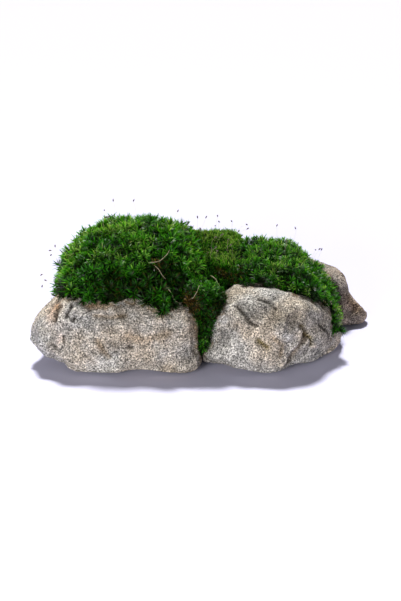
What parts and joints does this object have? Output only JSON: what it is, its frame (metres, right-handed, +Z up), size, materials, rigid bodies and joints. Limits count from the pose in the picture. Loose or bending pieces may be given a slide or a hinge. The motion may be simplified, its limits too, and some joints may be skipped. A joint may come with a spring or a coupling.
{
  "type": "moss clump on stones",
  "caption": "Loose grey stones gripped together by cushions of green moss, long-leaved and velvety, with a tongue of moss in the cleft.",
  "frame": {"origin": "middle of the clump's footprint, on the surface that the stones rest on", "axes": "+Z up; +X along the clump, from the tall moss cushion to the low brown stone; -Y is the front, where the two grey stones are"},
  "size_m": [0.3008, 0.1912, 0.1106],
  "materials": {
    "granite": "rough, speckled grey",
    "brown_stone": "rough, weathered brown-grey",
    "long_moss": "soft long-leaved moss",
    "fine_moss": "short velvety moss"
  },
  "bodies": {
    "root": {"stone_front_left": "granite", "stone_front_right": "granite", "stone_back_right": "brown_stone", "moss_left": "long_moss", "moss_right": "long_moss", "moss_cleft": "long_moss", "moss_middle": "fine_moss"}
  },
  "joints": []
}
